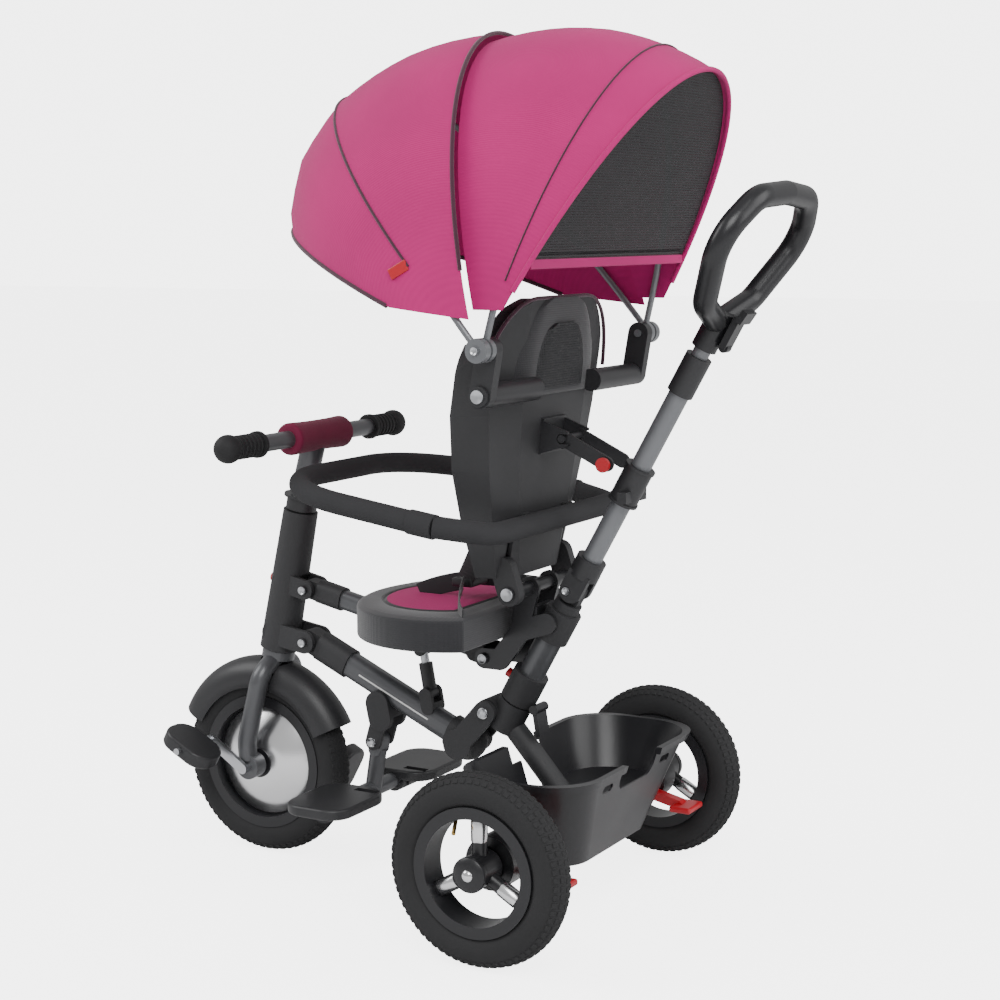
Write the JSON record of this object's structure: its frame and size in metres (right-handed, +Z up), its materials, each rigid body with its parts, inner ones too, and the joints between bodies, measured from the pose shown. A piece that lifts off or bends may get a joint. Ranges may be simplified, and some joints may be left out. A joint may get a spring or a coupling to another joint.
{
  "type": "children's tricycle",
  "caption": "Children's three-wheeled push trike with canopy, padded seat, guard ring, basket and parent push bar.",
  "frame": {"origin": "middle of the bounding box's footprint, on the floor", "axes": "+X forward, +Y to the rider's left, +Z up"},
  "size_m": [0.8755, 0.535, 1.073],
  "materials": {
    "black_steel": "satin",
    "grey_steel": "satin",
    "black_casting": "matte",
    "grey_handle_tube": "satin",
    "chrome_bolt": "gloss",
    "bright_steel": "brushed",
    "grip_rubber": "matte",
    "tyre_rubber": "matte",
    "gloss_black": "gloss",
    "red_plastic": "gloss",
    "magenta_fabric": "matte",
    "black_fabric": "matte",
    "foam_sleeve": "matte",
    "wheel_plastic": "satin"
  },
  "bodies": {
    "rear_frame": {"rear_casting": "black_casting", "axle_beam": "black_steel", "column_tube": "grey_steel", "column_collars": "black_casting", "seat_bracket": "black_steel", "basket": "gloss_black"},
    "lower_frame": {"main_tube": "grey_steel", "main_tube_fittings": "black_casting", "frame_bolts": "chrome_bolt"},
    "upper_frame": {"upper_tube": "grey_steel", "upper_tube_ends": "black_casting", "seat_pan": "gloss_black", "seat_cushion": "black_fabric"},
    "head": {"head_casting": "black_casting"},
    "head_release": {"head_button": "red_plastic"},
    "steering": {"stem_tube": "grey_steel", "handlebar": "grey_steel", "grips": "grip_rubber", "bar_pad": "magenta_fabric", "stem_collar": "gloss_black", "fork": "grey_steel", "mudguard": "gloss_black"},
    "front_wheel": {"front_tyre": "tyre_rubber", "front_rim": "wheel_plastic", "crank_set": "bright_steel"},
    "left_pedal": {"pedal_left": "wheel_plastic"},
    "right_pedal": {"pedal_right": "wheel_plastic"},
    "left_wheel": {"rear_left_tyre": "tyre_rubber", "rear_left_rim": "wheel_plastic"},
    "right_wheel": {"rear_right_tyre": "tyre_rubber", "rear_right_rim": "wheel_plastic"},
    "left_brake": {"brake_pedal_left": "red_plastic"},
    "right_brake": {"brake_pedal_right": "red_plastic"},
    "footrest": {"footrest_tube": "grey_steel"},
    "left_plate": {"footplate_left": "gloss_black"},
    "right_plate": {"footplate_right": "gloss_black"},
    "strut_outer": {"strut_sleeve": "black_casting"},
    "strut_inner": {"strut_rod": "bright_steel"},
    "seat_rest": {"seat_shell": "gloss_black", "back_pad": "black_fabric", "ring_rear": "foam_sleeve", "recline_bracket": "black_casting", "canopy_bosses": "gloss_black"},
    "gate": {"ring_gate": "foam_sleeve"},
    "push_bar": {"push_tube": "grey_handle_tube", "push_fittings": "black_casting", "recline_clamp": "black_casting"},
    "recline_hub": {"recline_button": "red_plastic"},
    "recline_link": {"recline_arm": "black_casting"},
    "handle": {"handle_tube": "grey_handle_tube", "handle_loop": "gloss_black"},
    "handle_latch": {"latch_lever": "gloss_black"},
    "column_lever": {"quick_lever": "gloss_black"},
    "column_release": {"fold_button": "red_plastic"},
    "canopy_arms": {"canopy_links": "gloss_black"},
    "canopy_back": {"rear_bow": "grey_steel", "rear_hood": "magenta_fabric"},
    "canopy_front": {"front_bow": "grey_steel", "front_hood": "magenta_fabric"}
  },
  "joints": [
    {"name": "frame_fold", "type": "hinge", "parent": "rear_frame", "child": "lower_frame", "pos_m": [-0.0435, 0, 0.236], "axis": [0, -1, 0], "range_deg": [0, 10]},
    {"name": "upper_link", "type": "hinge", "parent": "rear_frame", "child": "upper_frame", "pos_m": [-0.0435, 0, 0.306], "axis": [0, -1, 0], "range_deg": [-0.5, 10.5]},
    {"name": "head_link", "type": "hinge", "parent": "lower_frame", "child": "head", "pos_m": [0.2345, 0, 0.297], "axis": [0, -1, 0], "range_deg": [-10.5, 0.5]},
    {"name": "strut_pivot", "type": "hinge", "parent": "lower_frame", "child": "strut_outer", "pos_m": [0.0519, 0, 0.245], "axis": [0, -1, 0], "range_deg": [-13, 0.5]},
    {"name": "strut_slide", "type": "slide", "parent": "strut_outer", "child": "strut_inner", "axis": [0.1828, 0, 0.9831], "range_m": [-0.0003, 0.003]},
    {"name": "steering_turn", "type": "hinge", "parent": "head", "child": "steering", "pos_m": [0.2442, 0, 0.5014], "axis": [-0.2011, 0, 0.9796], "range_deg": [-12, 12]},
    {"name": "front_wheel_spin", "type": "hinge", "parent": "steering", "child": "front_wheel", "pos_m": [0.3095, 0, 0.125], "axis": [0, 1, 0], "continuous": true},
    {"name": "left_pedal_spin", "type": "hinge", "parent": "front_wheel", "child": "left_pedal", "pos_m": [0.3615, 0.101, 0.15877], "axis": [0, 1, 0], "continuous": true},
    {"name": "right_pedal_spin", "type": "hinge", "parent": "front_wheel", "child": "right_pedal", "pos_m": [0.2575, -0.101, 0.09123], "axis": [0, 1, 0], "continuous": true},
    {"name": "left_wheel_spin", "type": "hinge", "parent": "rear_frame", "child": "left_wheel", "pos_m": [-0.1615, 0.246, 0.114], "axis": [0, 1, 0], "continuous": true},
    {"name": "right_wheel_spin", "type": "hinge", "parent": "rear_frame", "child": "right_wheel", "pos_m": [-0.1615, -0.246, 0.114], "axis": [0, 1, 0], "continuous": true},
    {"name": "left_brake_press", "type": "hinge", "parent": "rear_frame", "child": "left_brake", "pos_m": [-0.1615, 0.18, 0.114], "axis": [0, -1, 0], "range_deg": [0, 12]},
    {"name": "right_brake_press", "type": "hinge", "parent": "rear_frame", "child": "right_brake", "pos_m": [-0.1615, -0.18, 0.114], "axis": [0, -1, 0], "range_deg": [0, 12]},
    {"name": "footrest_fold", "type": "hinge", "parent": "lower_frame", "child": "footrest", "pos_m": [0.1305, 0, 0.174], "axis": [0, 1, 0], "range_deg": [0, 70]},
    {"name": "left_plate_fold", "type": "hinge", "parent": "footrest", "child": "left_plate", "pos_m": [0.1415, 0.102, 0.106], "axis": [0, -1, 0], "range_deg": [0, 80]},
    {"name": "right_plate_fold", "type": "hinge", "parent": "footrest", "child": "right_plate", "pos_m": [0.1415, -0.102, 0.106], "axis": [0, -1, 0], "range_deg": [0, 80]},
    {"name": "seat_recline", "type": "hinge", "parent": "rear_frame", "child": "seat_rest", "pos_m": [-0.1075, 0, 0.401], "axis": [0, -1, 0], "range_deg": [0, 10]},
    {"name": "gate_pull", "type": "slide", "parent": "seat_rest", "child": "gate", "axis": [0.9908, 0, 0.1351], "range_m": [0, 0.012]},
    {"name": "push_bar_fold", "type": "hinge", "parent": "rear_frame", "child": "push_bar", "pos_m": [-0.15835, 0, 0.399], "axis": [0, -1, 0], "range_deg": [0, 90]},
    {"name": "recline_hub_turn", "type": "hinge", "parent": "push_bar", "child": "recline_hub", "pos_m": [-0.2105, 0.028, 0.559], "axis": [0, -1, 0], "range_deg": [-1, 8.57]},
    {"name": "recline_link_slide", "type": "slide", "parent": "recline_hub", "child": "recline_link", "axis": [0.9006, 0, 0.4347], "range_m": [-0.03382, 0.001]},
    {"name": "handle_pull", "type": "slide", "parent": "push_bar", "child": "handle", "axis": [-0.4848, 0, 0.8746], "range_m": [0, 0.12]},
    {"name": "latch_press", "type": "hinge", "parent": "handle", "child": "handle_latch", "pos_m": [-0.3521, 0, 0.70109], "axis": [0, -1, 0], "range_deg": [0, 12], "stiffness_Nm_per_rad": 0.2},
    {"name": "column_lever_turn", "type": "hinge", "parent": "rear_frame", "child": "column_lever", "pos_m": [-0.10643, 0, 0.24346], "axis": [0, 1, 0], "range_deg": [0, 60]},
    {"name": "column_release_press", "type": "slide", "parent": "rear_frame", "child": "column_release", "axis": [-0.8746, 0, -0.4848], "range_m": [0, 0.003], "stiffness_N_per_m": 60},
    {"name": "head_release_press", "type": "slide", "parent": "head", "child": "head_release", "axis": [-0.9796, 0, -0.2011], "range_m": [0, 0.002], "stiffness_N_per_m": 60},
    {"name": "canopy_arm_turn", "type": "hinge", "parent": "seat_rest", "child": "canopy_arms", "pos_m": [-0.1405, 0, 0.651], "axis": [0, 1, 0], "range_deg": [0, 15]},
    {"name": "canopy_back_fold", "type": "hinge", "parent": "canopy_arms", "child": "canopy_back", "pos_m": [-0.1495, 0, 0.704], "axis": [0, 1, 0], "range_deg": [0, 10]},
    {"name": "canopy_front_fold", "type": "hinge", "parent": "canopy_arms", "child": "canopy_front", "pos_m": [-0.1495, 0, 0.704], "axis": [0, -1, 0], "range_deg": [0, 40]}
  ],
  "couplings": [
    {"joint": "upper_link", "follows": "frame_fold", "ratio": 1},
    {"joint": "head_link", "follows": "frame_fold", "ratio": -1},
    {"joint": "strut_pivot", "follows": "frame_fold", "ratio": -1.1602},
    {"joint": "strut_slide", "follows": "frame_fold", "m_per_rad": 0.013812},
    {"joint": "recline_hub_turn", "follows": "seat_recline", "ratio": 0.75736},
    {"joint": "recline_link_slide", "follows": "seat_recline", "m_per_rad": -0.18805}
  ]
}
